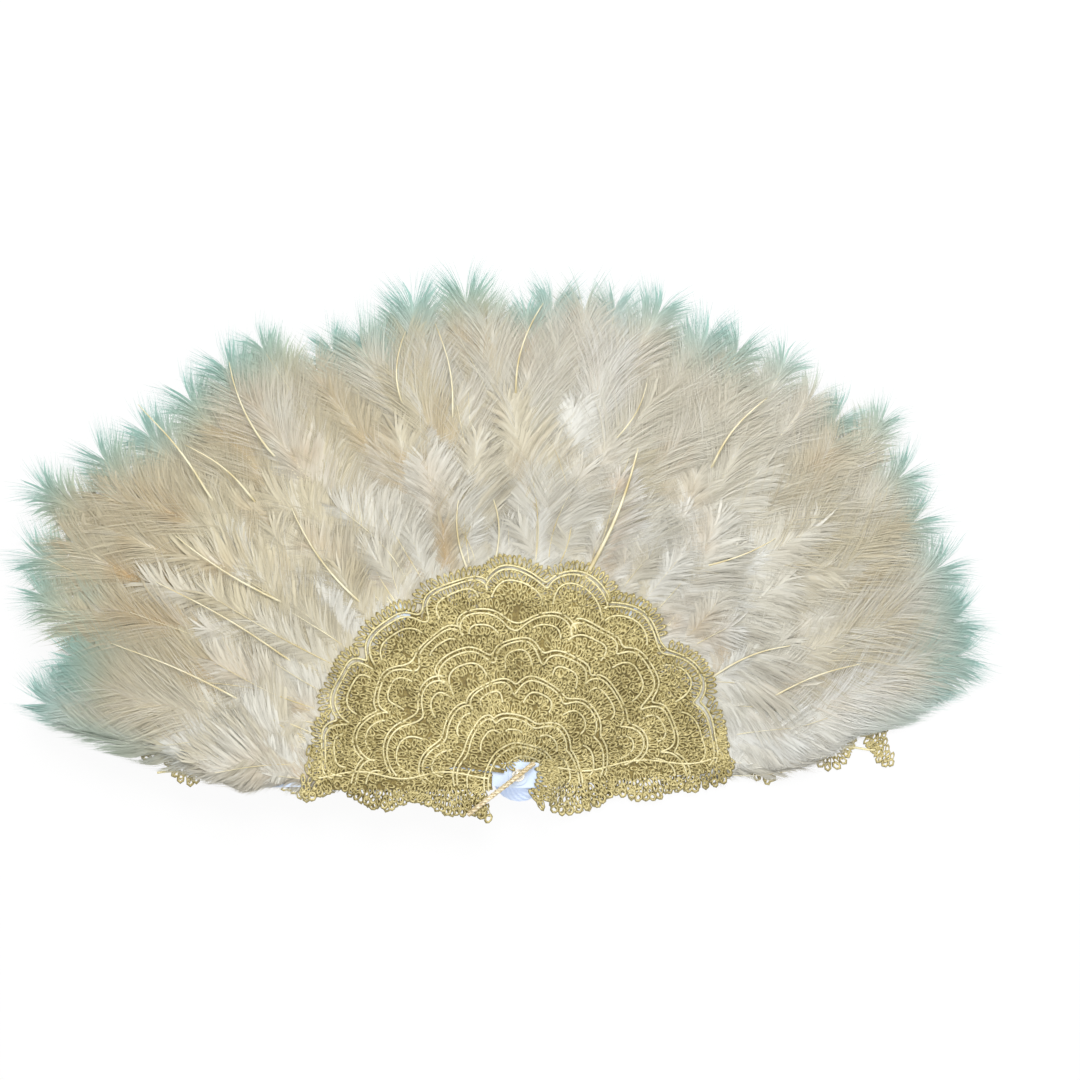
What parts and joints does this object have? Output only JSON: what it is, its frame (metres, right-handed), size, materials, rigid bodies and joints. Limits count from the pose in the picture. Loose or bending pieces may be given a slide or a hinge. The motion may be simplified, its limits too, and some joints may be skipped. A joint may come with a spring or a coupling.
{
  "type": "folding feather fan",
  "caption": "Folding hand fan: flat plastic staves on one rivet, each with a plume of soft feathers over a gore of gold corded lace, opened to a half circle.",
  "frame": {"origin": "on the rivet's axis, on the flat outer face of the rivet's rear head, which lies on the table", "axes": "+Z along the rivet towards the front face, +Y along the middle stave, +X towards the rear guard"},
  "size_m": [0.5315, 0.3005, 0.0355],
  "materials": {
    "white_plastic": "gloss",
    "gold_lace": "satin",
    "champagne_feather": "matte",
    "rivet_metal": "polished",
    "gold_braid": "satin"
  },
  "bodies": {
    "rear_guard": {"rear_guard": "white_plastic", "back_lace_01": "gold_lace", "front_lace_01": "gold_lace", "plume_01": "champagne_feather", "pivot_rivet": "rivet_metal", "rivet_washer": "rivet_metal"},
    "stave_02": {"stave_02": "white_plastic", "back_lace_02": "gold_lace", "front_lace_02": "gold_lace", "plume_02": "champagne_feather"},
    "stave_03": {"stave_03": "white_plastic", "back_lace_03": "gold_lace", "front_lace_03": "gold_lace", "plume_03": "champagne_feather"},
    "stave_04": {"stave_04": "white_plastic", "back_lace_04": "gold_lace", "front_lace_04": "gold_lace", "plume_04": "champagne_feather"},
    "stave_05": {"stave_05": "white_plastic", "back_lace_05": "gold_lace", "front_lace_05": "gold_lace", "plume_05": "champagne_feather"},
    "stave_06": {"stave_06": "white_plastic", "back_lace_06": "gold_lace", "front_lace_06": "gold_lace", "plume_06": "champagne_feather"},
    "stave_07": {"stave_07": "white_plastic", "back_lace_07": "gold_lace", "front_lace_07": "gold_lace", "plume_07": "champagne_feather"},
    "stave_08": {"stave_08": "white_plastic", "back_lace_08": "gold_lace", "front_lace_08": "gold_lace", "plume_08": "champagne_feather"},
    "stave_09": {"stave_09": "white_plastic", "back_lace_09": "gold_lace", "front_lace_09": "gold_lace", "plume_09": "champagne_feather"},
    "stave_10": {"stave_10": "white_plastic", "back_lace_10": "gold_lace", "front_lace_10": "gold_lace", "plume_10": "champagne_feather"},
    "front_guard": {"front_guard": "white_plastic", "back_lace_11": "gold_lace", "front_lace_11": "gold_lace", "plume_11": "champagne_feather", "braid_tail": "gold_braid"}
  },
  "joints": [
    {"name": "front_guard_pivot", "type": "hinge", "parent": "rear_guard", "child": "front_guard", "pos_m": [0, 0, 0], "axis": [0, 0, -1], "range_deg": [0, 176]},
    {"name": "stave_02_pivot", "type": "hinge", "parent": "rear_guard", "child": "stave_02", "pos_m": [0, 0, 0], "axis": [0, 0, -1], "range_deg": [0, 17.65]},
    {"name": "stave_03_pivot", "type": "hinge", "parent": "rear_guard", "child": "stave_03", "pos_m": [0, 0, 0], "axis": [0, 0, -1], "range_deg": [0, 35.25]},
    {"name": "stave_04_pivot", "type": "hinge", "parent": "rear_guard", "child": "stave_04", "pos_m": [0, 0, 0], "axis": [0, 0, -1], "range_deg": [0, 52.85]},
    {"name": "stave_05_pivot", "type": "hinge", "parent": "rear_guard", "child": "stave_05", "pos_m": [0, 0, 0], "axis": [0, 0, -1], "range_deg": [0, 70.45]},
    {"name": "stave_06_pivot", "type": "hinge", "parent": "rear_guard", "child": "stave_06", "pos_m": [0, 0, 0], "axis": [0, 0, -1], "range_deg": [0, 88.05]},
    {"name": "stave_07_pivot", "type": "hinge", "parent": "rear_guard", "child": "stave_07", "pos_m": [0, 0, 0], "axis": [0, 0, -1], "range_deg": [0, 105.65]},
    {"name": "stave_08_pivot", "type": "hinge", "parent": "rear_guard", "child": "stave_08", "pos_m": [0, 0, 0], "axis": [0, 0, -1], "range_deg": [0, 123.25]},
    {"name": "stave_09_pivot", "type": "hinge", "parent": "rear_guard", "child": "stave_09", "pos_m": [0, 0, 0], "axis": [0, 0, -1], "range_deg": [0, 140.85]},
    {"name": "stave_10_pivot", "type": "hinge", "parent": "rear_guard", "child": "stave_10", "pos_m": [0, 0, 0], "axis": [0, 0, -1], "range_deg": [0, 158.45]}
  ],
  "couplings": [
    {"joint": "stave_02_pivot", "follows": "front_guard_pivot", "ratio": 0.1},
    {"joint": "stave_03_pivot", "follows": "front_guard_pivot", "ratio": 0.2},
    {"joint": "stave_04_pivot", "follows": "front_guard_pivot", "ratio": 0.3},
    {"joint": "stave_05_pivot", "follows": "front_guard_pivot", "ratio": 0.4},
    {"joint": "stave_06_pivot", "follows": "front_guard_pivot", "ratio": 0.5},
    {"joint": "stave_07_pivot", "follows": "front_guard_pivot", "ratio": 0.6},
    {"joint": "stave_08_pivot", "follows": "front_guard_pivot", "ratio": 0.7},
    {"joint": "stave_09_pivot", "follows": "front_guard_pivot", "ratio": 0.8},
    {"joint": "stave_10_pivot", "follows": "front_guard_pivot", "ratio": 0.9}
  ]
}
